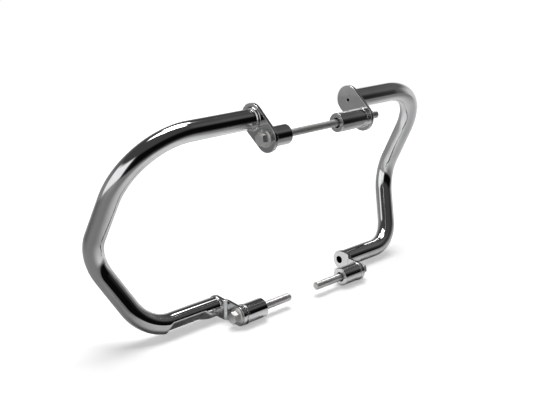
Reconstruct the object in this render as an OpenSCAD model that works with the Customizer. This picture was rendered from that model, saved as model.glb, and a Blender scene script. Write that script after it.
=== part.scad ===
// Pair of bent-tube crash bars for a motorcycle, joined by one long bolt.
// X runs across the machine with its left side at -X, Y runs backwards, Z is up.
// The origin is on the long bolt's axis, on the centre plane.

/* [Tube] */
// Outside diameter of the bent tube
tube_d = 28.6; // [26:0.2:31]
// Wall thickness of the bent tube
tube_wall = 2.4; // [1.6:0.2:3.2]
// Centreline radius of the top bend
top_bend_r = 100; // [70:5:110]
// Centreline radius of the two lower bends
low_bend_r = 60; // [45:5:65]

/* [Route] */
// How far the top run lies behind the long bolt
top_back = 28; // [24:1:34]
// How far the top run lies above the long bolt
top_up = 22.5; // [18:0.5:30]
// Half width at the corner of the top bend
top_corner_x = 291; // [275:1:310]
// Half width at the outermost corner
knee_x = 305.5; // [290:0.5:320]
// How far the outermost corner lies behind the long bolt
knee_back = 118.5; // [100:0.5:135]
// How far the outermost corner lies below the long bolt
knee_down = 148.5; // [135:0.5:165]
// Half width at the lower corner
low_corner_x = 255.5; // [240:0.5:270]
// How far the lower run lies behind the long bolt
low_back = 59.5; // [52:0.5:68]
// How far the lower run lies below the long bolt
low_down = 254; // [245:1:275]

/* [Upper plates] */
// Centre plane to the weld face of the left plate
left_plate_x = 90; // [84:1:100]
// Centre plane to the weld face of the right plate
right_plate_x = 111; // [100:1:120]
// Thickness of both upper plates
plate_t = 5; // [3:0.5:8]
// How far the plate stands out round the tube's end
plate_rim = 7.3; // [5:0.1:10]
// Radius of the plate's lower end, round the long bolt
plate_eye_r = 20.4; // [16:0.2:24]
// Diameter of the vent hole into the tube
plate_vent_d = 4; // [3:0.5:8]
// Leg of the weld bead between plate and tube
plate_weld = 3; // [1.5:0.5:5]

/* [Lower brackets] */
// Centre plane to the weld face of the left bracket
left_bracket_x = 134; // [132:0.5:142]
// Centre plane to the weld face of the right bracket
right_bracket_x = 139; // [132:0.5:142]
// Centre plane to the outer face of the left bolt tab
left_tab_x = 130.5; // [129:0.5:131]
// Centre plane to the outer face of the right bolt tab
right_tab_x = 127; // [122:0.5:128]
// Radius of the bolt tab's end
tab_r = 14.8; // [14.4:0.2:17]
// Thickness of the bracket's sheet
bracket_t = 5; // [3:0.5:6]
// How far the bracket stands out round the tube's end
bracket_rim = 1.3; // [1:0.1:3]
// Distance from the tube's axis to the first fold
fold_start = 15; // [12:0.5:18]
// Angle of both folds
fold_angle = 45; // [40:1:60]
// Inside radius of both folds
fold_r = 3; // [1.5:0.5:4]
// Diameter of the bracket's vent hole
bracket_vent_d = 12; // [6:0.5:14]
// How far the vent hole lies behind the tube's axis
bracket_vent_shift = 2.6; // [0:0.1:3.5]
// How far each lower bolt lies behind the long bolt
low_bolt_back = 14; // [10:0.5:18]
// How far each lower bolt lies below the long bolt
low_bolt_down = 256.3; // [250:0.1:262]

/* [Bolts] */
// Thread diameter of all bolts
bolt_d = 12; // [10:0.5:14]
// Diameter of the waisted shank between head and thread
waist_d = 10.8; // [9:0.1:11.8]
// Room on the diameter where a bolt passes a plate or washer
bolt_room = 1; // [0.4:0.1:2]
// Width across the flats of each bolt's head
head_af = 16; // [15:0.5:19]
// Height of each hexagon above its flange
head_h = 8.5; // [6:0.5:10]
// Bevel at the head's end, as a share of the corners' reach past the flats
head_bevel = 1.3; // [1.2:0.1:2]
// Diameter of each bolt's flange
flange_d = 25.6; // [23:0.2:28]
// Thickness of the flange where it meets the hexagon
flange_t = 3.4; // [2.6:0.2:5]
// Thickness of the flange at its rim
flange_edge = 1.8; // [1:0.2:2.4]
// Length of thread at the long bolt's end
thread_len = 42; // [36:1:60]
// How far the long bolt stands past the right plate
bolt_end = 29; // [15:1:35]
// Room between a lower bolt's thread and its spacer
low_thread_room = 0.5; // [0:0.1:2]
// Centre plane to the free end of each lower bolt
low_bolt_free_x = 28.5; // [20:0.5:40]
// Chamfer at each bolt's free end
bolt_chamfer = 1.1; // [0.5:0.1:1.5]

/* [Spacers] */
// Outside diameter of all spacers
spacer_d = 28.6; // [24:0.2:32]
// Bore of all spacers
spacer_bore = 15; // [14.4:0.2:18]
// Chamfer on the ends of the spacers
spacer_chamfer = 0.8; // [0.3:0.1:1.4]
// Width of the frame lug between the upper spacers
lug_w = 102; // [90:1:120]
// Width of the engine lug between the lower spacers
engine_w = 168; // [150:1:180]
// Diameter of all washers
washer_d = 30.6; // [26:0.2:34]
// Thickness of all washers
washer_t = 2.4; // [1.5:0.1:3]
// Diameter of the shim between the left tab and its washer
shim_d = 26; // [24:0.5:30]
// Thickness of the shim
shim_t = 3.5; // [1:0.5:5]

/* [Relief] */
// How far the relief's flat lies from the tube's axis
relief_floor = 7; // [6:0.2:9]
// Centre plane to the inner end of the flat
relief_inner_x = 163.5; // [160:0.5:170]
// Length of the flat along the tube
relief_len = 56; // [40:1:58]
// Angle of the run-outs at both ends of the flat
relief_ramp = 34.5; // [30:0.5:50]
// Turn of the flat from straight up, towards the front
relief_turn = 130.6; // [120:0.2:140]
// Depth of the round dish below the flat
dish_depth = 1.4; // [0.6:0.2:2]
// Radius of the round dish
dish_r = 10.5; // [8:0.5:11]
// Centre plane to the middle of the round dish
dish_x = 172; // [171:0.5:178]
// Thickness of the plate that closes the relief
relief_plate_t = 2; // [1.2:0.2:2.6]

/* [Hidden] */
$fn = 96;
SILVER = [0.78, 0.79, 0.81];
ZINC = [0.66, 0.66, 0.67];
STEEL = [0.55, 0.55, 0.56];
tube_r = tube_d / 2;
bore_r = tube_r - tube_wall;
hole_d = bolt_d + bolt_room;
left_plate_in = left_plate_x - plate_t;
right_plate_in = right_plate_x - plate_t;
left_tab_in = left_tab_x - bracket_t;
right_tab_in = right_tab_x - bracket_t;
left_washer_out = left_tab_in - shim_t;
bracket_r = tube_r + bracket_rim;
left_relief_x = -relief_inner_x - relief_len;
far_cut = tube_d;
fold_steps = 10;
BEND_RADII = [top_bend_r, low_bend_r, low_bend_r];
// Each arc is a hair thinner than the straight runs and laps a little way into them
bend_hair = 0.02;
bend_lap = 0.6;

function unit(v) = v / norm(v);
function frame_of(p, x_dir, z_dir) = let (y_dir = cross(z_dir, x_dir)) [
    [x_dir.x, y_dir.x, z_dir.x, p.x],
    [x_dir.y, y_dir.y, z_dir.y, p.y],
    [x_dir.z, y_dir.z, z_dir.z, p.z],
    [0, 0, 0, 1]
];
// Directions into and out of corner i, the angle turned there and the length cut off each side
function dir_in(path, i) = unit(path[i] - path[i - 1]);
function dir_out(path, i) = unit(path[i + 1] - path[i]);
function turn(path, i) = acos(dir_in(path, i) * dir_out(path, i));
function setback(path, radii, i) =
    i == 0 || i == len(path) - 1 ? 0 : radii[i - 1] * tan(turn(path, i) / 2);
// Corners of one bar's centreline, with the upper and lower ends where its plates start
function bar_path(top_end, low_end) = [
    [top_end, top_back, top_up],
    [top_corner_x, top_back, top_up],
    [knee_x, knee_back, -knee_down],
    [low_corner_x, low_back, -low_down],
    [low_end, low_back, -low_down]
];

// Round bar that follows the path, with an arc at each corner
module swept_rod(path, radii, r) {
    for (i = [0 : len(path) - 2]) {
        dir = unit(path[i + 1] - path[i]);
        side = unit(cross(dir, [0, 1, 0]));
        start = path[i] + dir * setback(path, radii, i);
        run = norm(path[i + 1] - path[i]) - setback(path, radii, i) - setback(path, radii, i + 1);
        multmatrix(frame_of(start, side, dir)) cylinder(r = r, h = run);
    }
    for (i = [1 : len(path) - 2]) {
        inward = unit(dir_out(path, i) - dir_in(path, i) * cos(turn(path, i)));
        centre = path[i] - dir_in(path, i) * setback(path, radii, i) + inward * radii[i - 1];
        multmatrix(frame_of(centre, -inward, cross(-inward, dir_in(path, i))))
            rotate([0, 0, -bend_lap]) rotate_extrude(angle = turn(path, i) + 2 * bend_lap)
                translate([radii[i - 1], 0]) circle(r = r - bend_hair);
    }
}

module bar_tube(top_end, low_end) {
    difference() {
        swept_rod(bar_path(top_end, low_end), BEND_RADII, tube_r);
        swept_rod(bar_path(top_end, low_end), BEND_RADII, bore_r);
    }
}

// Cylinder along X from one X to a larger one, on the axis at y and z
module bar_x(x1, x2, y, z, r1, r2) {
    translate([x1, y, z]) rotate([0, 90, 0]) cylinder(r1 = r1, r2 = r2, h = x2 - x1);
}

// Space of the relief, grown outwards by a skin thickness
module relief_space(skin) {
    slope = 1 / tan(relief_ramp);
    bottom = relief_floor - skin;
    shift = skin * (sqrt(1 + slope * slope) - slope);
    x1 = left_relief_x - shift;
    x2 = -relief_inner_x + shift;
    translate([0, low_back, -low_down]) rotate([relief_turn, 0, 0]) {
        rotate([90, 0, 0]) linear_extrude(height = 2 * far_cut, center = true) polygon([
            [x1, bottom],
            [x2, bottom],
            [x2 + slope * (far_cut - bottom), far_cut],
            [x1 - slope * (far_cut - bottom), far_cut]
        ]);
        translate([-dish_x, 0, bottom - dish_depth]) cylinder(r = dish_r + skin, h = far_cut);
    }
}

// Points where the two outer tangents of two circles in the YZ plane touch them
function tangent_points(c1, r1, c2, r2) = let (
    along = unit(c2 - c1),
    across = [-along.y, along.x],
    lean = acos((r1 - r2) / norm(c2 - c1))
) [
    for (step = [[1, 1], [2, 1], [2, -1], [1, -1]])
        (step.x == 1 ? c1 : c2)
        + (step.x == 1 ? r1 : r2) * (along * cos(lean) + across * sin(lean) * step.y)
];

// Flat plate in a YZ plane with a round end on each axis
module two_eye_plate(x1, thick, c1, r1, c2, r2) {
    bar_x(x1, x1 + thick, c1.x, c1.y, r1, r1);
    bar_x(x1, x1 + thick, c2.x, c2.y, r2, r2);
    translate([x1, 0, 0]) rotate([90, 0, 90])
        linear_extrude(height = thick) polygon(tangent_points(c1, r1, c2, r2));
}

module upper_plate(x1) {
    difference() {
        two_eye_plate(x1, plate_t, [top_back, top_up], tube_r + plate_rim, [0, 0], plate_eye_r);
        bar_x(x1 - plate_t, x1 + 2 * plate_t, 0, 0, hole_d / 2, hole_d / 2);
        bar_x(x1 - plate_t, x1 + 2 * plate_t, top_back, top_up, plate_vent_d / 2, plate_vent_d / 2);
    }
}

// Quarter-round bead on the tube at plane x, on its +X side
module weld_bead(x, y, z, leg) {
    translate([x, y, z]) rotate([0, 90, 0]) rotate_extrude() intersection() {
        translate([tube_r, 0]) square(leg);
        translate([tube_r, 0]) circle(r = leg);
    }
}

// One face of the folded sheet seen from above, from the tube's side to the tab's end.
// The side is 1 for the face away from the centre plane and -1 for the other.
// A small offset is folded less, so that the two folds never run into each other.
function fold_face(face_x, tab_x, side) = let (
    half = side * bracket_t / 2,
    mid_r = fold_r + bracket_t / 2,
    mid_face = face_x - bracket_t / 2,
    mid_tab = tab_x - bracket_t / 2,
    offset = mid_face - mid_tab,
    fold = min(fold_angle, acos(max(0, 1 - offset / (2 * mid_r)))),
    slant = max(0, offset - 2 * mid_r * (1 - cos(fold))) / sin(fold),
    y1 = low_back - fold_start,
    y2 = y1 - 2 * mid_r * sin(fold) - slant * cos(fold),
    angles = [for (step = [0 : fold_steps]) fold * step / fold_steps],
    c1 = [mid_face - mid_r, y1],
    c2 = [mid_tab + mid_r, y2]
) concat(
    [[mid_face + half, low_back + 2 * bracket_r]],
    [for (a = angles) c1 + (mid_r + half) * [cos(a), -sin(a)]],
    [for (a = angles) c2 - (mid_r - half) * [cos(fold - a), -sin(fold - a)]],
    [[mid_tab + half, low_bolt_back - 2 * bracket_r]]
);

// Folded strip along Y that steps inwards from the tube to the tab
module folded_strip(face_x, tab_x, high) {
    outer = fold_face(face_x, tab_x, 1);
    inner = fold_face(face_x, tab_x, -1);
    linear_extrude(height = high, center = true)
        polygon(concat(outer, [for (i = [len(inner) - 1 : -1 : 0]) inner[i]]));
}

module lower_bracket(face_x, tab_x) {
    mid_z = -(low_down + low_bolt_down) / 2;
    high = 4 * bracket_r;
    difference() {
        intersection() {
            translate([0, 0, mid_z]) folded_strip(face_x, tab_x, high);
            two_eye_plate(tab_x - high, 2 * high, [low_back, -low_down], bracket_r,
                [low_bolt_back, -low_bolt_down], tab_r);
        }
        bar_x(tab_x - 2 * bracket_t, tab_x + bracket_t, low_bolt_back, -low_bolt_down,
            hole_d / 2, hole_d / 2);
        bar_x(face_x - 2 * bracket_t, face_x + bracket_t, low_back + bracket_vent_shift, -low_down,
            bracket_vent_d / 2, bracket_vent_d / 2);
    }
}

// Hexagon head with a flange, its seat at the origin and its top towards -Z
module flange_head() {
    head_r = head_af / 2 / cos(30);
    bevel = (head_r - head_af / 2) * head_bevel;
    mirror([0, 0, 1]) rotate([0, 0, 30]) {
        rotate_extrude() polygon([
            [0, 0],
            [flange_d / 2, 0],
            [flange_d / 2, flange_edge],
            [head_r, flange_t],
            [0, flange_t]
        ]);
        intersection() {
            cylinder(r = head_r, h = flange_t + head_h, $fn = 6);
            rotate_extrude() polygon([
                [0, 0],
                [head_r, 0],
                [head_r, flange_t + head_h - bevel * tan(30)],
                [head_r - bevel, flange_t + head_h],
                [0, flange_t + head_h]
            ]);
        }
    }
}

// Waisted shank from the head's seat, then a thread with a chamfered end
module shank(length, thread) {
    r = bolt_d / 2;
    cylinder(r = waist_d / 2, h = length - thread);
    translate([0, 0, length - thread]) cylinder(r = r, h = thread - bolt_chamfer);
    translate([0, 0, length - bolt_chamfer])
        cylinder(r1 = r, r2 = r - bolt_chamfer, h = bolt_chamfer);
}

module spacer(x1, x2, y, z) {
    r = spacer_d / 2;
    difference() {
        translate([x1, y, z]) rotate([0, 90, 0]) rotate_extrude() polygon([
            [0, 0],
            [r - spacer_chamfer, 0],
            [r, spacer_chamfer],
            [r, x2 - x1 - spacer_chamfer],
            [r - spacer_chamfer, x2 - x1],
            [0, x2 - x1]
        ]);
        bar_x(x1 - 1, x2 + 1, y, z, spacer_bore / 2, spacer_bore / 2);
    }
}

module washer(x1, x2, y, z, d) {
    difference() {
        bar_x(x1, x2, y, z, d / 2, d / 2);
        bar_x(x1 - 1, x2 + 1, y, z, hole_d / 2, hole_d / 2);
    }
}

// Lower bolt on the right side, from its head inwards
module lower_bolt(seat_x) {
    translate([seat_x, low_bolt_back, -low_bolt_down]) rotate([0, -90, 0]) {
        flange_head();
        shank(seat_x - low_bolt_free_x, engine_w / 2 - low_thread_room - low_bolt_free_x);
    }
}

module left_tube() {
    color(SILVER) difference() {
        mirror([1, 0, 0]) bar_tube(left_plate_x, left_bracket_x);
        relief_space(0);
    }
}

module right_tube() {
    color(SILVER) bar_tube(right_plate_x, right_bracket_x);
}

module left_relief_plate() {
    color(SILVER) difference() {
        intersection() {
            relief_space(relief_plate_t);
            mirror([1, 0, 0])
                swept_rod(bar_path(left_plate_x, left_bracket_x), BEND_RADII, bore_r);
        }
        relief_space(0);
    }
}

module left_upper_plate() {
    color(SILVER) upper_plate(-left_plate_x);
}

module right_upper_plate() {
    color(SILVER) upper_plate(right_plate_in);
}

module left_upper_weld() {
    color(SILVER) mirror([1, 0, 0]) weld_bead(left_plate_x, top_back, top_up, plate_weld);
}

module right_upper_weld() {
    color(SILVER) weld_bead(right_plate_x, top_back, top_up, plate_weld);
}

module left_lower_bracket() {
    color(SILVER) mirror([1, 0, 0]) lower_bracket(left_bracket_x, left_tab_x);
}

module right_lower_bracket() {
    color(SILVER) lower_bracket(right_bracket_x, right_tab_x);
}

module left_lower_weld() {
    color(SILVER) mirror([1, 0, 0]) weld_bead(left_bracket_x, low_back, -low_down, bracket_rim);
}

module right_lower_weld() {
    color(SILVER) weld_bead(right_bracket_x, low_back, -low_down, bracket_rim);
}

module through_bolt() {
    color(ZINC) translate([-left_plate_x, 0, 0]) rotate([0, 90, 0]) {
        flange_head();
        shank(left_plate_x + right_plate_x + bolt_end, thread_len);
    }
}

module left_upper_washer() {
    color(SILVER) washer(-left_plate_in, washer_t - left_plate_in, 0, 0, washer_d);
}

module right_upper_washer() {
    color(SILVER) washer(right_plate_in - washer_t, right_plate_in, 0, 0, washer_d);
}

module left_upper_spacer() {
    color(STEEL) spacer(washer_t - left_plate_in, -lug_w / 2, 0, 0);
}

module right_upper_spacer() {
    color(STEEL) spacer(lug_w / 2, right_plate_in - washer_t, 0, 0);
}

module left_lower_bolt() {
    color(ZINC) mirror([1, 0, 0]) lower_bolt(left_tab_x);
}

module right_lower_bolt() {
    color(ZINC) lower_bolt(right_tab_x);
}

module left_lower_shim() {
    color(STEEL) washer(-left_tab_in, -left_washer_out, low_bolt_back, -low_bolt_down, shim_d);
}

module left_lower_washer() {
    color(SILVER) washer(-left_washer_out, washer_t - left_washer_out,
        low_bolt_back, -low_bolt_down, washer_d);
}

module right_lower_washer() {
    color(SILVER) washer(right_tab_in - washer_t, right_tab_in,
        low_bolt_back, -low_bolt_down, washer_d);
}

module left_lower_spacer() {
    color(STEEL) spacer(washer_t - left_washer_out, -engine_w / 2, low_bolt_back, -low_bolt_down);
}

module right_lower_spacer() {
    color(STEEL) spacer(engine_w / 2, right_tab_in - washer_t, low_bolt_back, -low_bolt_down);
}

left_tube();
left_upper_plate();
left_upper_weld();
left_lower_bracket();
left_lower_weld();
left_relief_plate();
right_tube();
right_upper_plate();
right_upper_weld();
right_lower_bracket();
right_lower_weld();
through_bolt();
left_upper_washer();
left_upper_spacer();
right_upper_washer();
right_upper_spacer();
left_lower_bolt();
left_lower_shim();
left_lower_washer();
left_lower_spacer();
right_lower_bolt();
right_lower_washer();
right_lower_spacer();
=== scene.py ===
"""Pair of chromed crash bars for a motorcycle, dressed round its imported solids.

Lengths are in metres. X runs across the machine with its left side at -X, Y runs backwards and
Z is up, with the origin on the long bolt's axis at the centre plane.
"""

import math

import bmesh
import bpy
from bpy.props import FloatProperty, FloatVectorProperty, IntProperty, PointerProperty
from mathutils import Matrix, Vector


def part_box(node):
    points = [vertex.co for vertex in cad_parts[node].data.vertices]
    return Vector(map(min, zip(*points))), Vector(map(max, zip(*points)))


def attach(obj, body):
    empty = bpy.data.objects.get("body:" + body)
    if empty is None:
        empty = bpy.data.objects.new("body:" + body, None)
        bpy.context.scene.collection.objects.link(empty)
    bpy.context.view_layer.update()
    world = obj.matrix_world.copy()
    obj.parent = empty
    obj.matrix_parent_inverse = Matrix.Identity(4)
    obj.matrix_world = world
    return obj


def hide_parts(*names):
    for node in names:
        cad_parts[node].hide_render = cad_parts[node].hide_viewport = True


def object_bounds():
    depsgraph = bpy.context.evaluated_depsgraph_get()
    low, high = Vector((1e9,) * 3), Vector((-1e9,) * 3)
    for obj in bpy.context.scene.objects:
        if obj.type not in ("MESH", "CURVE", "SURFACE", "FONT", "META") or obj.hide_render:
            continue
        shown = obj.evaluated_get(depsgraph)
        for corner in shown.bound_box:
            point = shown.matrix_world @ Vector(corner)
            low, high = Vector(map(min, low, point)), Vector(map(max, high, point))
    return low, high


bl_info = {
    "name": "Motorcycle crash bars",
    "version": (1, 0, 0),
    "blender": (4, 5, 0),
    "location": "View3D > Sidebar > Crash bars",
    "description": "Models a pair of bent-tube crash bars with their plates, bolts and spacers",
    "category": "Object",
}

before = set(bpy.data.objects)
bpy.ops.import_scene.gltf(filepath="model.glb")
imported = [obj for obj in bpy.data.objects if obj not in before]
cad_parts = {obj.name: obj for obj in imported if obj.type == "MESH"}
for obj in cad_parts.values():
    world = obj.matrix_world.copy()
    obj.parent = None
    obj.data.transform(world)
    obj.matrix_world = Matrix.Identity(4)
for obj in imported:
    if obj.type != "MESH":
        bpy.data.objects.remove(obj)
CAD_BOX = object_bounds()

SIDES = {"left": -1, "right": 1}
FULL_TURN = 2 * math.pi
SMOOTH_ANGLE = math.radians(32)
SAME_POINT = 2e-6
FLOOR_GAP = 0.0002


def cad_size(node, axis):
    """Length of a solid of the frame along one axis."""
    low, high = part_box(node)
    return high[axis] - low[axis]


def outer_x(node):
    """Distance from the centre plane to the far side of a solid."""
    low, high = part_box(node)
    return max(abs(low[0]), abs(high[0]))


def inner_x(node):
    """Distance from the centre plane to the near side of a solid."""
    low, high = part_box(node)
    return min(abs(low[0]), abs(high[0]))


class TubeSettings(bpy.types.PropertyGroup):
    """Both bent tubes."""

    diameter: FloatProperty(
        name="Tube diameter", description="Outside diameter", default=0.0286, unit="LENGTH"
    )
    wall: FloatProperty(
        name="Wall", description="Wall thickness", default=0.0024, unit="LENGTH"
    )
    top_bend: FloatProperty(
        name="Top bend", description="Centreline radius", default=0.100, unit="LENGTH"
    )
    low_bend: FloatProperty(
        name="Lower bends", description="Centreline radius", default=0.060, unit="LENGTH"
    )
    top_corner: FloatVectorProperty(
        name="Top corner",
        description="Corner of the right tube's centreline at the top",
        default=(0.291, 0.028, 0.0225),
        subtype="XYZ_LENGTH",
    )
    knee: FloatVectorProperty(
        name="Knee",
        description="Outermost corner of the right tube's centreline",
        default=(0.3055, 0.1185, -0.1485),
        subtype="XYZ_LENGTH",
    )
    low_corner: FloatVectorProperty(
        name="Lower corner",
        description="Lower corner of the right tube's centreline",
        default=(0.2555, 0.0595, -0.254),
        subtype="XYZ_LENGTH",
    )
    sides: IntProperty(
        name="Sides", description="Faces round the tube", default=128, min=24
    )


class ReliefSettings(bpy.types.PropertyGroup):
    """Flat pressed into the left tube's lower run."""

    floor: FloatProperty(
        name="Flat", description="From the tube's axis to the flat", default=0.007, unit="LENGTH"
    )
    inner_x: FloatProperty(
        name="Inner end", description="From the centre plane", default=0.1635, unit="LENGTH"
    )
    length: FloatProperty(
        name="Length", description="Length of the flat", default=0.056, unit="LENGTH"
    )
    ramp: FloatProperty(
        name="Run-outs",
        description="Angle of the run-outs at both ends",
        default=math.radians(34.5),
        subtype="ANGLE",
    )
    turn: FloatProperty(
        name="Turn",
        description="Turn of the flat from straight up, towards the front",
        default=math.radians(130.6),
        subtype="ANGLE",
    )
    lip: FloatProperty(
        name="Lip", description="Width of the rounded lip", default=0.0026, unit="LENGTH"
    )
    dish_depth: FloatProperty(
        name="Dish depth", description="Below the flat", default=0.0014, unit="LENGTH"
    )
    dish_radius: FloatProperty(
        name="Dish radius", description="Radius of the round dish", default=0.0105, unit="LENGTH"
    )
    dish_x: FloatProperty(
        name="Dish place", description="From the centre plane", default=0.172, unit="LENGTH"
    )


class PlateSettings(bpy.types.PropertyGroup):
    """Upper plates, lower brackets and their weld beads."""

    rim: FloatProperty(
        name="Upper rim",
        description="How far the upper plate stands out round the tube",
        default=0.0073,
        unit="LENGTH",
    )
    eye: FloatProperty(
        name="Bolt eye", description="Radius round the long bolt", default=0.0204, unit="LENGTH"
    )
    tab: FloatProperty(
        name="Tab", description="Radius of the bracket's bolt tab", default=0.0148, unit="LENGTH"
    )
    vent: FloatProperty(
        name="Upper vent", description="Diameter of the vent hole", default=0.005, unit="LENGTH"
    )
    low_rim: FloatProperty(
        name="Lower rim",
        description="How far the bracket stands out round the tube",
        default=0.0013,
        unit="LENGTH",
    )
    sheet: FloatProperty(
        name="Sheet", description="Thickness of the bracket", default=0.005, unit="LENGTH"
    )
    fold_start: FloatProperty(
        name="First fold", description="From the tube's axis", default=0.015, unit="LENGTH"
    )
    fold_angle: FloatProperty(
        name="Fold", description="Angle of both folds", default=math.radians(45), subtype="ANGLE"
    )
    fold_radius: FloatProperty(
        name="Fold radius", description="Inside radius", default=0.003, unit="LENGTH"
    )
    low_vent: FloatProperty(
        name="Lower vent", description="Diameter of the vent hole", default=0.012, unit="LENGTH"
    )
    vent_shift: FloatProperty(
        name="Vent shift", description="Behind the tube's axis", default=0.0026, unit="LENGTH"
    )
    edge: FloatProperty(
        name="Edge", description="Width of the rounded edges", default=0.0006, unit="LENGTH"
    )
    weld_pitch: FloatProperty(
        name="Weld ripple", description="Length of one ripple", default=0.0022, unit="LENGTH"
    )


class BoltSettings(bpy.types.PropertyGroup):
    """Long bolt and both lower bolts."""

    thread: FloatProperty(
        name="Thread", description="Outside diameter", default=0.012, unit="LENGTH"
    )
    pitch: FloatProperty(
        name="Pitch", description="Length of one turn of thread", default=0.00175, unit="LENGTH"
    )
    waist: FloatProperty(
        name="Waist", description="Diameter of the plain shank", default=0.0108, unit="LENGTH"
    )
    flats: FloatProperty(
        name="Flats", description="Width across the head's flats", default=0.016, unit="LENGTH"
    )
    head: FloatProperty(
        name="Head", description="Height above the flange", default=0.0085, unit="LENGTH"
    )
    flange: FloatProperty(
        name="Flange", description="Diameter of the flange", default=0.0256, unit="LENGTH"
    )
    flange_high: FloatProperty(
        name="Flange middle", description="Thickness at the head", default=0.0034, unit="LENGTH"
    )
    flange_low: FloatProperty(
        name="Flange rim", description="Thickness at the rim", default=0.0018, unit="LENGTH"
    )
    chamfer: FloatProperty(
        name="Chamfer", description="At the free end", default=0.0011, unit="LENGTH"
    )
    long_thread: FloatProperty(
        name="Long thread", description="Thread on the long bolt", default=0.042, unit="LENGTH"
    )
    low_thread: FloatProperty(
        name="Lower thread", description="Thread on a lower bolt", default=0.055, unit="LENGTH"
    )
    long_groove: FloatProperty(
        name="Long groove",
        description="Depth of the long bolt's thread",
        default=0.0006,
        unit="LENGTH",
    )
    low_groove: FloatProperty(
        name="Lower groove",
        description="Depth of a lower bolt's thread",
        default=0.00015,
        unit="LENGTH",
    )
    low_place: FloatVectorProperty(
        name="Lower place",
        description="Behind and above the long bolt",
        default=(0.0, 0.014, -0.2563),
        subtype="XYZ_LENGTH",
    )


class SpacerSettings(bpy.types.PropertyGroup):
    """Spacers and washers."""

    diameter: FloatProperty(
        name="Spacer", description="Outside diameter", default=0.0286, unit="LENGTH"
    )
    bore: FloatProperty(
        name="Bore", description="Inside diameter", default=0.015, unit="LENGTH"
    )
    chamfer: FloatProperty(
        name="Chamfer", description="On the ends of a spacer", default=0.0008, unit="LENGTH"
    )
    washer_hole: FloatProperty(
        name="Washer hole", description="Inside diameter", default=0.013, unit="LENGTH"
    )


class FinishSettings(bpy.types.PropertyGroup):
    """Colours of the finishes."""

    chrome: FloatVectorProperty(
        name="Chrome", description="Polished chrome", default=(0.84, 0.845, 0.85), subtype="COLOR"
    )
    haze: FloatVectorProperty(
        name="Haze",
        description="Chrome where it is hazed",
        default=(0.74, 0.745, 0.75),
        subtype="COLOR",
    )
    zinc: FloatVectorProperty(
        name="Zinc", description="Zinc-plated bolts", default=(0.72, 0.715, 0.70), subtype="COLOR"
    )
    zinc_dull: FloatVectorProperty(
        name="Dull zinc",
        description="Zinc where it is dulled",
        default=(0.60, 0.60, 0.595),
        subtype="COLOR",
    )


class StageSettings(bpy.types.PropertyGroup):
    """Floor, light and camera."""

    floor_z: FloatProperty(
        name="Floor", description="Height of the floor", default=CAD_BOX[0][2], unit="LENGTH"
    )
    floor_radius: FloatProperty(
        name="Floor radius", description="Radius of the floor", default=1.5, unit="LENGTH"
    )
    floor_colour: FloatVectorProperty(
        name="Floor colour", description="Pale", default=(0.88, 0.88, 0.88), subtype="COLOR"
    )
    # Painted shade: the floor's colour where no painted light falls, as the metal shows it.
    floor_shade: FloatVectorProperty(
        name="Floor shade",
        description="The floor outside its bright part, as the metal shows it",
        default=(0.02, 0.02, 0.02),
        subtype="COLOR",
    )
    camera_place: FloatVectorProperty(
        name="Camera",
        description="Place of the camera",
        default=(-0.884, -0.8567, 0.2837),
        subtype="XYZ_LENGTH",
    )
    camera_turn: FloatProperty(
        name="Turn",
        description="Right of straight back",
        default=math.radians(42.9),
        subtype="ANGLE",
    )
    camera_dip: FloatProperty(
        name="Dip", description="Below the horizon", default=math.radians(18.15), subtype="ANGLE"
    )
    lens: FloatProperty(
        name="Lens", description="Focal length in millimetres", default=59.7, unit="CAMERA"
    )


class CrashBarSettings(bpy.types.PropertyGroup):
    """All that a user may change."""

    tube: PointerProperty(type=TubeSettings)
    relief: PointerProperty(type=ReliefSettings)
    plate: PointerProperty(type=PlateSettings)
    bolt: PointerProperty(type=BoltSettings)
    spacer: PointerProperty(type=SpacerSettings)
    finish: PointerProperty(type=FinishSettings)
    stage: PointerProperty(type=StageSettings)


# Modelling by operators


def begin(name, add, **where):
    """A primitive on its own, named, with its place put into its mesh."""
    if bpy.context.object and bpy.context.object.mode != "OBJECT":
        bpy.ops.object.mode_set(mode="OBJECT")
    bpy.ops.object.select_all(action="DESELECT")
    add(**where)
    piece = bpy.context.object
    piece.name = piece.data.name = name
    bpy.ops.object.transform_apply(location=True, rotation=True, scale=True)
    return piece


def edit(piece):
    """Edit mode on one piece."""
    bpy.ops.object.select_all(action="DESELECT")
    piece.select_set(True)
    bpy.context.view_layer.objects.active = piece
    bpy.ops.object.mode_set(mode="EDIT")


def done():
    """Back to object mode."""
    bpy.ops.object.mode_set(mode="OBJECT")


def pick(kind, wanted):
    """Selects, in edit mode, only the vertices, edges or faces whose middle passes the test."""
    bpy.ops.mesh.select_mode(type=kind)
    bpy.ops.mesh.select_all(action="DESELECT")
    mesh = bpy.context.object.data
    shape = bmesh.from_edit_mesh(mesh)
    if kind == "VERT":
        for corner in shape.verts:
            corner.select_set(wanted(corner.co))
    else:
        for part in shape.edges if kind == "EDGE" else shape.faces:
            middle = sum((v.co for v in part.verts), Vector()) / len(part.verts)
            part.select_set(wanted(middle))
    shape.select_flush_mode()
    bmesh.update_edit_mesh(mesh)


def extrude(step):
    """Extrudes what is selected."""
    bpy.ops.mesh.extrude_region_move(TRANSFORM_OT_translate={"value": step})


def swing(heading, new_heading, centre, steps):
    """Spins what is selected round a centre, until its heading is the new one."""
    bpy.ops.mesh.spin(
        steps=steps,
        angle=heading.angle(new_heading),
        center=centre,
        axis=new_heading.cross(heading).normalized(),
    )


def facing(direction):
    """Rotation that turns +Z to a direction."""
    return direction.to_track_quat("Z", "Y").to_euler()


def close_up():
    """Merges doubles and points every face outwards."""
    bpy.ops.mesh.select_mode(type="VERT")
    bpy.ops.mesh.select_all(action="SELECT")
    bpy.ops.mesh.remove_doubles(threshold=SAME_POINT)
    bpy.ops.mesh.normals_make_consistent(inside=False)


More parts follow.
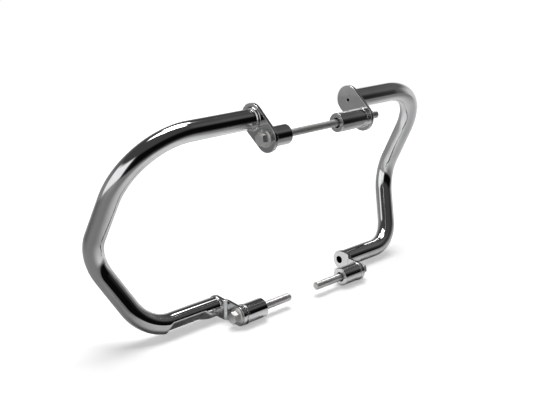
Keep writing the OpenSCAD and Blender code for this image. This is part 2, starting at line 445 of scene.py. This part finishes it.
def turn_up(name, start, direction, profile, sides, hollow=False):
    """A turned piece: a ring is drawn, then extruded and scaled along its axis.

    The profile is a row of (distance along the axis, radius), closed on itself if it is hollow.
    """
    start, direction = Vector(start), Vector(direction)
    along, radius = profile[0]
    piece = begin(
        name,
        bpy.ops.mesh.primitive_circle_add,
        vertices=sides,
        radius=radius,
        fill_type="NOTHING" if hollow else "NGON",
        location=start + direction * along,
        rotation=facing(direction),
    )
    edit(piece)
    pick("EDGE" if hollow else "FACE", lambda middle: True)
    steps = [*profile, profile[0]] if hollow else profile
    for (along, radius), (next_along, next_radius) in zip(steps, steps[1:]):
        extrude(direction * (next_along - along))
        if radius != next_radius:
            bpy.ops.transform.resize(
                value=(next_radius / radius,) * 3,
                center_override=start + direction * next_along,
            )
    close_up()
    done()
    return piece


def apply_modifier(piece, kind, **values):
    """Adds a modifier with its values and applies it."""
    bpy.ops.object.select_all(action="DESELECT")
    piece.select_set(True)
    bpy.context.view_layer.objects.active = piece
    modifier = piece.modifiers.new(kind.title(), kind)
    for key, value in values.items():
        setattr(modifier, key, value)
    bpy.ops.object.modifier_apply(modifier=modifier.name)


def combine(piece, other, operation):
    """Boolean of two pieces; the other one is used up."""
    apply_modifier(piece, "BOOLEAN", operation=operation, object=other, solver="EXACT")
    bpy.data.meshes.remove(other.data)


def drill(piece, centre, direction, radius, depth, sides=64):
    """A round hole along a direction through a centre."""
    drill_bit = begin(
        "drill",
        bpy.ops.mesh.primitive_cylinder_add,
        vertices=sides,
        radius=radius,
        depth=depth,
        location=centre,
        rotation=facing(Vector(direction)),
    )
    combine(piece, drill_bit, "DIFFERENCE")


def round_edges(piece, width, segments=3):
    """Rounded edges, with the flats kept flat in the reflections."""
    apply_modifier(
        piece,
        "BEVEL",
        width=width,
        segments=segments,
        limit_method="ANGLE",
        angle_limit=SMOOTH_ANGLE,
        use_clamp_overlap=False,
        miter_outer="MITER_ARC",
    )
    smooth(piece)
    apply_modifier(piece, "WEIGHTED_NORMAL", keep_sharp=True, weight=100)


def smooth(piece, angle=SMOOTH_ANGLE):
    """Smooth shading up to an angle."""
    bpy.ops.object.select_all(action="DESELECT")
    piece.select_set(True)
    bpy.context.view_layer.objects.active = piece
    bpy.ops.object.shade_smooth_by_angle(angle=angle)


def settle(piece, finish, slot, *nodes):
    """Gives a finished piece its material and body, in place of its solids."""
    piece.data.materials.clear()
    piece.data.materials.append(finish)
    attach(piece, "root")
    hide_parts(*nodes)


# Materials

# Patches of haze and of roughness, and the ripple of the plating, per metre.
HAZE_SCALE = 22.0
ROUGH_SCALE = 60.0
WAVE_SCALE = 30.0


def node_tree(owner):
    """An empty node tree."""
    owner.use_nodes = True
    owner.node_tree.nodes.clear()
    return owner.node_tree


def add_node(tree, kind, inputs=(), **values):
    """A node with its settings, and its inputs set to a value or linked from a socket."""
    node = tree.nodes.new(kind)
    for key, value in values.items():
        setattr(node, key, value)
    for key, value in dict(inputs).items():
        if isinstance(value, bpy.types.NodeSocket):
            tree.links.new(value, node.inputs[key])
        else:
            node.inputs[key].default_value = value
    return node


def noise(tree, scale, detail):
    """Noise on the piece's own coordinates, from 0 to 1."""
    place = add_node(tree, "ShaderNodeTexCoord").outputs["Object"]
    return add_node(
        tree, "ShaderNodeTexNoise", {"Vector": place, "Scale": scale, "Detail": detail}
    ).outputs["Fac"]


def span(tree, value, low, high, to_low, to_high):
    """A value moved from one range to another."""
    return add_node(
        tree,
        "ShaderNodeMapRange",
        {"Value": value, "From Min": low, "From Max": high, "To Min": to_low, "To Max": to_high},
    ).outputs["Result"]


def blend_colour(tree, share, first, second):
    """A colour between two."""
    ramp = add_node(tree, "ShaderNodeValToRGB", {"Fac": share})
    ramp.color_ramp.elements[0].color = (*first, 1)
    ramp.color_ramp.elements[1].color = (*second, 1)
    return ramp.outputs["Color"]


def metal(name, colour, dull, gloss, matt, grain_scale, grain_depth, wave_depth, metallic=1.0):
    """Plated metal: haze in patches, roughness between two values, fine grain, a slow ripple."""
    material = bpy.data.materials.new(name)
    tree = node_tree(material)
    haze = span(tree, noise(tree, HAZE_SCALE, 4.0), 0.42, 0.72, 0.0, 1.0)
    rough = span(tree, noise(tree, ROUGH_SCALE, 5.0), 0.35, 0.7, gloss, matt)
    grain = add_node(
        tree,
        "ShaderNodeBump",
        {"Height": noise(tree, grain_scale, 2.0), "Distance": grain_depth, "Strength": 1.0},
    )
    wave = add_node(
        tree,
        "ShaderNodeBump",
        {
            "Height": noise(tree, WAVE_SCALE, 1.0),
            "Distance": wave_depth,
            "Strength": 1.0,
            "Normal": grain.outputs["Normal"],
        },
    )
    shader = add_node(
        tree,
        "ShaderNodeBsdfPrincipled",
        {
            "Base Color": blend_colour(tree, haze, colour, dull),
            "Metallic": metallic,
            "Roughness": rough,
            "Normal": wave.outputs["Normal"],
        },
    )
    add_node(tree, "ShaderNodeOutputMaterial", {"Surface": shader.outputs["BSDF"]})
    return material


def finish_of(name):
    """The finish with that name, made when it is first asked for."""
    if name in bpy.data.materials:
        return bpy.data.materials[name]
    finish = bpy.context.scene.crash_bars.finish
    chrome, haze = tuple(finish.chrome), tuple(finish.haze)
    zinc, dull = tuple(finish.zinc), tuple(finish.zinc_dull)
    makers = {
        "tube chrome": lambda: metal(name, chrome, haze, 0.03, 0.07, 1400.0, 2e-7, 8e-6),
        "plate chrome": lambda: metal(name, chrome, haze, 0.03, 0.07, 900.0, 4e-7, 1e-5),
        "weld chrome": lambda: metal(name, haze, dull, 0.08, 0.14, 700.0, 6e-7, 1e-5),
        "spacer chrome": lambda: metal(name, chrome, haze, 0.04, 0.09, 1200.0, 3e-7, 6e-6),
        "zinc plate": lambda: metal(name, zinc, dull, 0.3, 0.4, 1500.0, 2e-7, 2e-6, metallic=0.8),
    }
    return makers[name]()


# Shapes of this object

FINE_EDGE = 0.0002
WASHER_EDGE = 0.00045
# A ripple's valley as a share of the bead, and a thread groove's half width as one of the pitch.
WELD_VALLEY = 0.98
GROOVE_HALF = 0.32
# Slope between a bolt's waist and its thread.
THREAD_STEP = 0.0006
# From the middle of a hexagon's side to its corner.
HEXAGON_HALF = math.radians(30)
# The head's facets stay crisp, because they are shaded smooth only below its chamfer's angle.
HEAD_CHAMFER = math.radians(30)
HEAD_SMOOTH = math.radians(28)
HEAD_TURN = math.radians(15)


def tube_path(settings, side, top_end, low_end):
    """Corner points of one tube's centreline, from its upper plate to its lower bracket."""
    top, knee, low = (Vector(p) for p in (settings.top_corner, settings.knee, settings.low_corner))
    points = [Vector((top_end, top.y, top.z)), top, knee, low, Vector((low_end, low.y, low.z))]
    return [Vector((side * p.x, p.y, p.z)) for p in points]


def bend_tube(name, path, radii, radius, wall, sides, run_steps, bend_steps, shape=None):
    """A ring is drawn at the first end, extruded along each run and spun round each bend.

    The shape, if any, is pressed into it before it gets its wall.
    """
    headings = [(b - a).normalized() for a, b in zip(path, path[1:])]
    setbacks = [0.0]
    for heading, following, bend in zip(headings, headings[1:], radii):
        setbacks.append(bend * math.tan(heading.angle(following) / 2))
    setbacks.append(0.0)
    piece = begin(
        name,
        bpy.ops.mesh.primitive_circle_add,
        vertices=sides,
        radius=radius,
        fill_type="NOTHING",
        location=path[0],
        rotation=facing(headings[0]),
    )
    edit(piece)
    pick("EDGE", lambda middle: True)
    for i, heading in enumerate(headings):
        run = (path[i + 1] - path[i]).length - setbacks[i] - setbacks[i + 1]
        for _ in range(run_steps[i]):
            extrude(heading * (run / run_steps[i]))
        if i < len(radii):
            following = headings[i + 1]
            inward = (following - heading * heading.dot(following)).normalized()
            centre = path[i + 1] - heading * setbacks[i + 1] + inward * radii[i]
            swing(heading, following, centre, bend_steps[i])
    close_up()
    done()
    if shape:
        shape(piece)
    apply_modifier(piece, "SOLIDIFY", thickness=wall, offset=-1.0, use_even_offset=True)
    smooth(piece)
    return piece


def press_relief(piece, relief, centre):
    """Presses the flat, its run-outs and its dish into the tube, with a rounded lip."""
    out = Vector((0, -math.sin(relief.turn), math.cos(relief.turn)))
    across = Vector((0, math.cos(relief.turn), math.sin(relief.turn)))
    rise = math.tan(relief.ramp)
    low_x, high_x = -relief.inner_x - relief.length, -relief.inner_x
    half_step = 0.0008
    for corner in piece.data.vertices:
        offset = corner.co - centre
        height, aside = offset.dot(out), offset.dot(across)
        if height <= 0 or corner.co.x > high_x + relief.length / 2:
            continue
        past = max(0.0, corner.co.x - high_x, low_x - corner.co.x)
        bottom = relief.floor + past * rise
        from_dish = math.hypot(corner.co.x + relief.dish_x, aside) - relief.dish_radius
        share = min(max(0.5 - from_dish / (2 * half_step), 0.0), 1.0)
        share = share * share * (3 - 2 * share)
        bottom += (relief.floor - relief.dish_depth - bottom) * share
        near = max(relief.lip - abs(height - bottom), 0.0)
        corner.co += out * (min(height, bottom) - near * near / (4 * relief.lip) - height)


def two_eye_blank(name, big, small, near_x, far_x, sides=144):
    """A flat blank with a round end on each axis, between two X.

    Each end is (Y, Z, radius). A disc's far side is shrunk to the small end and moved there.
    """
    centre, far_centre = (Vector((near_x, end[0], end[1])) for end in (big, small))
    along = (far_centre - centre).normalized()
    across = Vector((1, 0, 0)).cross(along)
    axes = Matrix((along, across, Vector((1, 0, 0)))).transposed()
    lean = math.acos((big[2] - small[2]) / (far_centre - centre).length)
    piece = begin(
        name,
        bpy.ops.mesh.primitive_circle_add,
        vertices=sides,
        radius=big[2],
        fill_type="NGON",
        location=centre,
        rotation=axes.to_euler(),
    )
    edit(piece)
    pick("VERT", lambda co: (co - centre).angle(along) < lean)
    bpy.ops.transform.resize(value=(small[2] / big[2],) * 3, center_override=centre)
    bpy.ops.transform.translate(value=far_centre - centre)
    pick("FACE", lambda middle: True)
    extrude(Vector((far_x - near_x, 0, 0)))
    close_up()
    done()
    return piece


def folded_strip(name, side, face_x, tab_x, settings, back_y, fold_y, front_y, mid_z, high):
    """A strip of sheet, folded twice so that its front end lies nearer the centre plane."""
    half = settings.sheet / 2
    mid_radius = settings.fold_radius + half
    start_x, end_x = face_x - half, tab_x - half
    offset = start_x - end_x
    fold = min(settings.fold_angle, math.acos(max(0.0, 1 - offset / (2 * mid_radius))))
    slant = max(0.0, offset - 2 * mid_radius * (1 - math.cos(fold))) / math.sin(fold)
    ahead = Vector((0, -1, 0))
    slanted = Vector((-side * math.sin(fold), -math.cos(fold), 0))
    inward = Vector((-side, 0, 0))
    back_edge = Vector((side * start_x, back_y, mid_z))
    piece = begin(
        name,
        bpy.ops.mesh.primitive_plane_add,
        size=high,
        location=back_edge,
        rotation=(0, math.pi / 2, 0),
    )
    edit(piece)
    pick("EDGE", lambda middle: middle.y < back_y - SAME_POINT)
    bpy.ops.transform.translate(value=(0, high / 2 + fold_y - back_y, 0))
    first_centre = Vector((side * start_x, fold_y, mid_z)) + inward * mid_radius
    swing(ahead, slanted, first_centre, 12)
    extrude(slanted * slant)
    turned_in = Vector((-side * math.cos(fold), math.sin(fold), 0))
    second_fold = first_centre - turned_in * mid_radius + slanted * slant
    swing(slanted, ahead, second_fold - turned_in * mid_radius, 12)
    end_y = second_fold.y - mid_radius * math.sin(fold)
    extrude(ahead * (end_y - front_y))
    close_up()
    done()
    apply_modifier(piece, "SOLIDIFY", thickness=settings.sheet, offset=0.0, use_even_offset=True)
    return piece


def weld_bead(name, start, direction, root, leg, pitch):
    """A quarter-round bead on a tube, with its ripples drawn in one by one."""
    per_ripple = 4
    ripples = round(FULL_TURN * root / pitch)
    quarter = [
        (leg * math.sin(angle), root + leg * math.cos(angle))
        for angle in (math.radians(step) for step in range(0, 91, 15))
    ]
    piece = turn_up(
        name, start, direction, [(0.0, root - leg / 3), *quarter, (leg, root - leg / 3)],
        ripples * per_ripple, hollow=True,
    )
    edit(piece)
    axis, start = Vector(direction), Vector(start)
    first = facing(axis).to_matrix() @ Vector((0, 1, 0))
    second = axis.cross(first)
    for ripple in range(ripples):
        angle = FULL_TURN * ripple / ripples
        outward = first * math.cos(angle) + second * math.sin(angle)
        reach = math.cos(FULL_TURN / ripples / per_ripple / 2)

        def in_valley(co, outward=outward, reach=reach):
            flat = (co - start) - axis * (co - start).dot(axis)
            return flat.normalized().dot(outward) > reach

        pick("VERT", in_valley)
        bpy.ops.transform.resize(
            value=(WELD_VALLEY,) * 3, center_override=start + outward * root
        )
    done()
    smooth(piece, math.radians(60))
    return piece


def flange_bolt(name, seat, direction, length, thread, groove, settings):
    """A bolt with a flanged hexagon head: its seat at a point, its shank along a direction."""
    seat, direction = Vector(seat), Vector(direction)
    corner = settings.flats / 2 / math.cos(HEXAGON_HALF)
    bevel = (corner - settings.flats / 2) * 1.3
    rim_edge = settings.flange_low * 0.12
    top = settings.flange_high + settings.head
    radius, waist = settings.thread / 2, settings.waist / 2
    turns = math.ceil((thread - settings.chamfer) / settings.pitch)
    per_turn = 8
    rings = [
        (-settings.flange_high, corner),
        (-settings.flange_low, settings.flange / 2),
        (-rim_edge, settings.flange / 2),
        (0.0, settings.flange / 2 - rim_edge),
        (0.0, waist),
        (length - thread - THREAD_STEP, waist),
    ]
    rings += [
        (length - thread + (thread - settings.chamfer) * step / (turns * per_turn), radius)
        for step in range(turns * per_turn + 1)
    ]
    rings.append((length, radius - settings.chamfer))
    piece = turn_up(name, seat, direction, rings, 48)
    cut_thread(piece, seat, direction, length - thread, length, groove, settings.pitch)
    hexagon = begin(
        "hexagon",
        bpy.ops.mesh.primitive_cylinder_add,
        vertices=6,
        radius=corner,
        depth=top - 0.001,
        location=seat - direction * (top + 0.001) / 2,
        rotation=facing(direction),
    )
    edit(hexagon)
    bpy.ops.mesh.select_all(action="SELECT")
    bpy.ops.transform.rotate(value=HEAD_TURN, orient_axis="X", center_override=seat)
    done()
    corners_off = turn_up(
        "corners off",
        seat,
        -direction,
        [
            (0.0, corner + bevel),
            (top - 2 * bevel * math.tan(HEAD_CHAMFER), corner + bevel),
            (top, corner - bevel),
        ],
        96,
    )
    combine(hexagon, corners_off, "INTERSECT")
    round_edges(hexagon, FINE_EDGE, 2)
    combine(piece, hexagon, "UNION")
    smooth(piece, HEAD_SMOOTH)
    apply_modifier(piece, "WEIGHTED_NORMAL", keep_sharp=True, weight=100)
    return piece


def cut_thread(piece, seat, direction, start, end, depth, pitch):
    """Draws a helical groove into the shank, running out at both ends."""
    first = facing(direction).to_matrix() @ Vector((0, 1, 0))
    second = direction.cross(first)
    for corner in piece.data.vertices:
        offset = corner.co - seat
        along = offset.dot(direction)
        if not start - SAME_POINT <= along < end - SAME_POINT:
            continue
        flat = offset - direction * along
        angle = math.atan2(flat.dot(second), flat.dot(first))
        phase = ((along - start) / pitch - angle / FULL_TURN) % 1.0
        groove = max(0.0, 1.0 - abs(phase - 0.5) / GROOVE_HALF)
        fade = min(1.0, (along - start) / pitch)
        corner.co -= flat.normalized() * (depth * groove * fade)


class CRASHBARS_OT_tubes(bpy.types.Operator):
    """Bends both tubes and presses the relief into the left one"""

    bl_idname = "crashbars.tubes"
    bl_label = "Tubes"

    def execute(self, context):
        settings = context.scene.crash_bars
        tube = settings.tube
        radii = (tube.top_bend, tube.low_bend, tube.low_bend)
        for side_name, side in SIDES.items():
            path = tube_path(
                tube, side, inner_x(f"{side_name}_tube"), outer_x(f"{side_name}_lower_bracket")
            )
            relief_side = side_name == "left"
            piece = bend_tube(
                f"{side_name}_bent_tube",
                path,
                radii,
                tube.diameter / 2,
                tube.wall,
                tube.sides,
                (6, 8, 4, 80 if relief_side else 6),
                (72, 40, 64),
                (lambda made: press_relief(made, settings.relief, path[-1]))
                if relief_side
                else None,
            )
            nodes = ("left_tube", "left_relief_plate") if relief_side else ("right_tube",)
            settle(piece, finish_of("tube chrome"), "chrome_tube", *nodes)
        return {"FINISHED"}


class CRASHBARS_OT_upper_plates(bpy.types.Operator):
    """Cuts, drills and rounds both upper plates"""

    bl_idname = "crashbars.upper_plates"
    bl_label = "Upper plates"

    def execute(self, context):
        settings = context.scene.crash_bars
        tube, plate, spacer = settings.tube, settings.plate, settings.spacer
        big = (tube.top_corner[1], tube.top_corner[2], tube.diameter / 2 + plate.rim)
        for side_name, side in SIDES.items():
            node = f"{side_name}_upper_plate"
            low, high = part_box(node)
            piece = two_eye_blank(
                f"{side_name}_end_plate", big, (0.0, 0.0, plate.eye), low[0], high[0]
            )
            thick = high[0] - low[0]
            middle = (low[0] + high[0]) / 2
            drill(piece, (middle, 0, 0), (1, 0, 0), spacer.washer_hole / 2, 2 * thick)
            drill(piece, (middle, big[0], big[1]), (1, 0, 0), plate.vent / 2, 2 * thick, 32)
            round_edges(piece, plate.edge)
            settle(piece, finish_of("plate chrome"), "chrome_plate", node)
        return {"FINISHED"}


class CRASHBARS_OT_lower_brackets(bpy.types.Operator):
    """Folds, trims, drills and rounds both lower brackets"""

    bl_idname = "crashbars.lower_brackets"
    bl_label = "Lower brackets"

    def execute(self, context):
        settings = context.scene.crash_bars
        tube, plate, spacer = settings.tube, settings.plate, settings.spacer
        _, tube_y, tube_z = tube.low_corner
        _, bolt_y, bolt_z = settings.bolt.low_place
        round_end = tube.diameter / 2 + plate.low_rim
        high = 4 * round_end
        for side_name, side in SIDES.items():
            node = f"{side_name}_lower_bracket"
            face_x = outer_x(node)
            tab_x = inner_x(node) + plate.sheet
            piece = folded_strip(
                f"{side_name}_folded_bracket",
                side,
                face_x,
                tab_x,
                plate,
                tube_y + 2 * round_end,
                tube_y - plate.fold_start,
                bolt_y - 2 * round_end,
                (tube_z + bolt_z) / 2,
                high,
            )
            blank = two_eye_blank(
                "blank",
                (tube_y, tube_z, round_end + SAME_POINT),
                (bolt_y, bolt_z, plate.tab),
                side * (tab_x - high),
                side * (face_x + high),
            )
            combine(piece, blank, "INTERSECT")
            drill(
                piece, (side * tab_x, bolt_y, bolt_z), (1, 0, 0), spacer.washer_hole / 2, high
            )
            drill(
                piece,
                (side * face_x, tube_y + plate.vent_shift, tube_z),
                (1, 0, 0),
                plate.low_vent / 2,
                high,
            )
            round_edges(piece, plate.edge)
            settle(piece, finish_of("plate chrome"), "chrome_plate", node)
        return {"FINISHED"}


class CRASHBARS_OT_weld_beads(bpy.types.Operator):
    """Lays the rippled weld beads between tubes and plates"""

    bl_idname = "crashbars.weld_beads"
    bl_label = "Weld beads"

    def execute(self, context):
        settings = context.scene.crash_bars
        tube, plate = settings.tube, settings.plate
        places = {"upper": tube.top_corner, "lower": tube.low_corner}
        for side_name, side in SIDES.items():
            for level, place in places.items():
                node = f"{side_name}_{level}_weld"
                piece = weld_bead(
                    f"{side_name}_{level}_bead",
                    (side * inner_x(node), place[1], place[2]),
                    (side, 0, 0),
                    tube.diameter / 2,
                    cad_size(node, 0),
                    plate.weld_pitch,
                )
                settle(piece, finish_of("weld chrome"), "chrome_weld", node)
        return {"FINISHED"}


class CRASHBARS_OT_bolts(bpy.types.Operator):
    """Makes the long bolt and both lower bolts"""

    bl_idname = "crashbars.bolts"
    bl_label = "Bolts"

    def execute(self, context):
        bolt, sheet = context.scene.crash_bars.bolt, context.scene.crash_bars.plate.sheet
        seat_x = -outer_x("left_upper_plate")
        free_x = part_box("through_bolt")[1][0]
        piece = flange_bolt(
            "long_bolt",
            (seat_x, 0, 0),
            (1, 0, 0),
            free_x - seat_x,
            bolt.long_thread,
            bolt.long_groove,
            bolt,
        )
        settle(piece, finish_of("zinc plate"), "zinc_bolt", "through_bolt")
        for side_name, side in SIDES.items():
            node = f"{side_name}_lower_bolt"
            seat_x = inner_x(f"{side_name}_lower_bracket") + sheet
            piece = flange_bolt(
                f"{side_name}_short_bolt",
                (side * seat_x, bolt.low_place[1], bolt.low_place[2]),
                (-side, 0, 0),
                seat_x - inner_x(node),
                bolt.low_thread,
                bolt.low_groove,
                bolt,
            )
            settle(piece, finish_of("zinc plate"), "zinc_bolt", node)
        return {"FINISHED"}


class CRASHBARS_OT_spacers(bpy.types.Operator):
    """Turns the four spacers, the four washers and the shim"""

    bl_idname = "crashbars.spacers"
    bl_label = "Spacers and washers"

    def execute(self, context):
        settings = context.scene.crash_bars
        spacer = settings.spacer
        places = {"upper": (0.0, 0.0, 0.0), "lower": settings.bolt.low_place}
        radius, bore, cut = spacer.diameter / 2, spacer.bore / 2, spacer.chamfer
        for side_name, side in SIDES.items():
            for level, place in places.items():
                node = f"{side_name}_{level}_spacer"
                long = cad_size(node, 0)
                sleeve = turn_up(
                    f"{side_name}_{level}_sleeve",
                    (side * inner_x(node), place[1], place[2]),
                    (side, 0, 0),
                    [
                        (0.0, bore + cut / 2),
                        (0.0, radius - cut),
                        (cut, radius),
                        (long - cut, radius),
                        (long, radius - cut),
                        (long, bore + cut / 2),
                        (long - cut / 2, bore),
                        (cut / 2, bore),
                    ],
                    128,
                    hollow=True,
                )
                round_edges(sleeve, FINE_EDGE, 2)
                settle(sleeve, finish_of("spacer chrome"), "chrome_spacer", node)
                self.ring(
                    f"{side_name}_{level}_washer", side, place, spacer.washer_hole, "chrome_washer"
                )
        low_place = settings.bolt.low_place
        self.ring("left_lower_shim", SIDES["left"], low_place, spacer.washer_hole, "chrome_spacer")
        return {"FINISHED"}

    @staticmethod
    def ring(node, side, place, hole, slot):
        """A flat ring with rounded edges, as thick and wide as its solid."""
        thick, radius = cad_size(node, 0), cad_size(node, 1) / 2
        piece = turn_up(
            f"{node}_ring",
            (side * inner_x(node), place[1], place[2]),
            (side, 0, 0),
            [(0.0, hole / 2), (0.0, radius), (thick, radius), (thick, hole / 2)],
            96,
            hollow=True,
        )
        round_edges(piece, WASHER_EDGE)
        settle(piece, finish_of("spacer chrome"), slot, node)


# Middle azimuth and half width, lowest and highest elevation, softness and level of each part of
# the studio that the chrome shows. Azimuth 0 is +Y and 90 is +X, all in degrees.
STUDIO_PANELS = {
    "far wall": (-8, 48, -40, 20, 20, 0.26),
    "right wall": (98, 34, -40, 46, 12, 0.12),
    "backdrop": (66, 42, -40, 14, 12, 0.62),
    "left softbox": (-83, 37, -8, 30, 5, 1.0),
    "top softbox": (42, 70, 64, 100, 5, 7.5),
    "front of the top softbox": (44, 26, 52, 66, 3, 7.5),
    "black flag": (180, 52, -14, 30, 8, 0.003),
}
STUDIO_LEVEL = 0.055
# Pools of light painted on the floor, which only metal shows: middle, where they end, level above
# the rest.
PAINTED_LIGHT_POOLS = (((-0.12, -0.13), 0.36, 0.65), ((0.08, 0.14), 0.3, 0.4))
# Radius round a pool's middle within which its painted light is full.
PAINTED_POOL_CORE = 0.08
# Painted light on the rest of the floor, which only metal shows.
PAINTED_FLOOR_LIGHT = 0.27


def window(tree, value, low, high, rising):
    """A soft step of a value between two limits."""
    ends = (0.0, 1.0) if rising else (1.0, 0.0)
    return add_node(
        tree,
        "ShaderNodeMapRange",
        {"Value": value, "From Min": low, "From Max": high, "To Min": ends[0], "To Max": ends[1]},
        interpolation_type="SMOOTHSTEP",
    ).outputs["Result"]


def maths(tree, operation, *values):
    """A Math node."""
    return add_node(tree, "ShaderNodeMath", enumerate(values), operation=operation).outputs[0]


def apart(tree, place, point):
    """Distance of a place from a point."""
    return add_node(
        tree, "ShaderNodeVectorMath", {0: place, 1: point}, operation="DISTANCE"
    ).outputs["Value"]


def studio_world(world):
    """The studio as the metal shows it, with a white background for the camera."""
    tree = node_tree(world)
    view = add_node(tree, "ShaderNodeTexCoord").outputs["Generated"]
    height = maths(
        tree, "ARCSINE", add_node(tree, "ShaderNodeSeparateXYZ", {0: view}).outputs["Z"]
    )
    level = STUDIO_LEVEL
    for middle, half, low, high, soft, strength in STUDIO_PANELS.values():
        middle, half, low, high, soft = (math.radians(v) for v in (middle, half, low, high, soft))
        turned = add_node(
            tree,
            "ShaderNodeVectorRotate",
            {"Vector": view, "Angle": middle},
            rotation_type="Z_AXIS",
        )
        split = add_node(tree, "ShaderNodeSeparateXYZ", {0: turned.outputs[0]})
        around = maths(
            tree,
            "ABSOLUTE",
            maths(tree, "ARCTAN2", split.outputs["X"], split.outputs["Y"]),
        )
        mask = maths(
            tree,
            "MULTIPLY",
            window(tree, height, low - soft, low + soft, True),
            window(tree, height, high - soft, high + soft, False),
        )
        sides = window(tree, around, half - soft, half + soft, False)
        mask = maths(tree, "MULTIPLY", mask, sides)
        mixed = add_node(tree, "ShaderNodeMix", {0: mask, 2: level, 3: strength})
        level = mixed.outputs[0]
    seen = add_node(tree, "ShaderNodeLightPath").outputs["Is Camera Ray"]
    strength = add_node(tree, "ShaderNodeMix", {0: seen, 2: level, 3: 1.0}).outputs[0]
    light = add_node(tree, "ShaderNodeBackground", {"Color": (1, 1, 1, 1), "Strength": strength})
    add_node(tree, "ShaderNodeOutputWorld", {"Surface": light.outputs[0]})


def floor_finish(pale, shade):
    """Pale floor, white to the camera but for its shadows. Metal shows light and shade painted
    into its colour.

    The painted levels of light behind the bars, to their right and in a strip between them come
    first, then the painted pools of light, and painted shade darkens the floor towards the front.
    """
    material = bpy.data.materials.new("studio floor")
    tree = node_tree(material)
    place = add_node(tree, "ShaderNodeTexCoord").outputs["Object"]
    split = add_node(tree, "ShaderNodeSeparateXYZ", {0: place})
    distance = apart(tree, place, (0, 0, 0))
    across, back = split.outputs["X"], split.outputs["Y"]
    # Painted levels of light behind the bars, to their right and in a strip between them.
    behind = maths(
        tree,
        "MULTIPLY",
        window(tree, back, 0.1, 0.4, True),
        span(tree, window(tree, across, -0.65, -0.35, True), 0.0, 1.0, -0.12, 0.12),
    )
    right = maths(
        tree,
        "MULTIPLY",
        window(tree, back, -0.35, 0.25, True),
        window(tree, across, 0.35, 0.6, True),
    )
    strip = maths(
        tree,
        "MULTIPLY",
        window(tree, back, -0.22, 0.12, True),
        window(tree, back, 0.3, 0.55, False),
    )
    strip = maths(tree, "MULTIPLY", strip, window(tree, across, -0.05, 0.2, True))
    painted_light = maths(tree, "ADD", behind, PAINTED_FLOOR_LIGHT)
    painted_light = maths(tree, "MULTIPLY_ADD", right, 0.15, painted_light)
    painted_light = maths(tree, "MULTIPLY_ADD", strip, 0.45, painted_light)
    for (x, y), end, level in PAINTED_LIGHT_POOLS:
        away = apart(tree, place, (x, y, CAD_BOX[0][2]))
        bright = window(tree, away, PAINTED_POOL_CORE, end, False)
        painted_light = maths(tree, "MULTIPLY_ADD", bright, level, painted_light)
    # Painted shade towards the front.
    front = window(tree, back, -0.78, -0.42, True)
    painted_light = maths(tree, "MINIMUM", maths(tree, "MULTIPLY", painted_light, front), 1.0)
    # Only glossy rays see the painted light and shade; the camera sees the pale floor.
    path = add_node(tree, "ShaderNodeLightPath")
    lit = add_node(tree, "ShaderNodeMix", {0: path.outputs["Is Glossy Ray"], 2: 1.0, 3: painted_light})
    mottle = span(tree, noise(tree, 3.0, 2.0), 0.3, 0.7, 0.97, 1.0)
    lift = maths(tree, "MULTIPLY_ADD", window(tree, distance, 0.7, 1.2, True), 0.26, 0.42)
    strength = maths(tree, "MULTIPLY", path.outputs["Is Camera Ray"], lift)
    shader = add_node(
        tree,
        "ShaderNodeBsdfPrincipled",
        {
            "Specular IOR Level": 0.12,
            # For metal, the floor's colour runs from the painted shade to the pale floor by the
            # painted light.
            "Base Color": blend_colour(
                tree, maths(tree, "MULTIPLY", lit.outputs[0], mottle), shade, pale
            ),
            "Roughness": 0.32,
            "Emission Color": (1, 1, 1, 1),
            "Emission Strength": strength,
        },
    )
    add_node(tree, "ShaderNodeOutputMaterial", {"Surface": shader.outputs["BSDF"]})
    return material


class CRASHBARS_OT_stage(bpy.types.Operator):
    """Lays the floor, lights the studio and places the camera"""

    bl_idname = "crashbars.stage"
    bl_label = "Stage"

    def execute(self, context):
        stage = context.scene.crash_bars.stage
        floor = begin(
            "studio_floor",
            bpy.ops.mesh.primitive_circle_add,
            vertices=128,
            radius=stage.floor_radius,
            fill_type="NGON",
            location=(0, 0, stage.floor_z - FLOOR_GAP),
        )
        floor.data.materials.append(
            floor_finish(tuple(stage.floor_colour), tuple(stage.floor_shade))
        )
        world = bpy.data.worlds.new("studio")
        context.scene.world = world
        studio_world(world)
        bpy.ops.object.camera_add(
            location=stage.camera_place,
            rotation=(math.pi / 2 - stage.camera_dip, 0, -stage.camera_turn),
        )
        camera = context.object
        camera.name = "studio_camera"
        camera.data.lens = stage.lens
        camera.data.sensor_width = 36
        camera.data.clip_start = 0.01
        camera.data.clip_end = 50
        context.scene.camera = camera
        context.scene.view_settings.view_transform = "Standard"
        return {"FINISHED"}


class CRASHBARS_PT_panel(bpy.types.Panel):
    """Lists the pieces"""

    bl_idname = "CRASHBARS_PT_panel"
    bl_label = "Crash bars"
    bl_space_type = "VIEW_3D"
    bl_region_type = "UI"
    bl_category = "Crash bars"

    def draw(self, context):
        for operator in OPERATORS:
            self.layout.operator(operator.bl_idname)


OPERATORS = (
    CRASHBARS_OT_tubes,
    CRASHBARS_OT_upper_plates,
    CRASHBARS_OT_lower_brackets,
    CRASHBARS_OT_weld_beads,
    CRASHBARS_OT_bolts,
    CRASHBARS_OT_spacers,
    CRASHBARS_OT_stage,
)
CLASSES = (
    TubeSettings,
    ReliefSettings,
    PlateSettings,
    BoltSettings,
    SpacerSettings,
    FinishSettings,
    StageSettings,
    CrashBarSettings,
    *OPERATORS,
    CRASHBARS_PT_panel,
)


def register():
    """Registers the classes and the settings."""
    for kind in CLASSES:
        bpy.utils.register_class(kind)
    bpy.types.Scene.crash_bars = PointerProperty(type=CrashBarSettings)


def unregister():
    """Takes the settings and the classes away again."""
    del bpy.types.Scene.crash_bars
    for kind in reversed(CLASSES):
        bpy.utils.unregister_class(kind)


def main():
    """Builds every piece and the stage."""
    register()
    bpy.ops.crashbars.tubes()
    bpy.ops.crashbars.upper_plates()
    bpy.ops.crashbars.lower_brackets()
    bpy.ops.crashbars.weld_beads()
    bpy.ops.crashbars.bolts()
    bpy.ops.crashbars.spacers()
    bpy.ops.crashbars.stage()


if __name__ == "__main__":
    main()
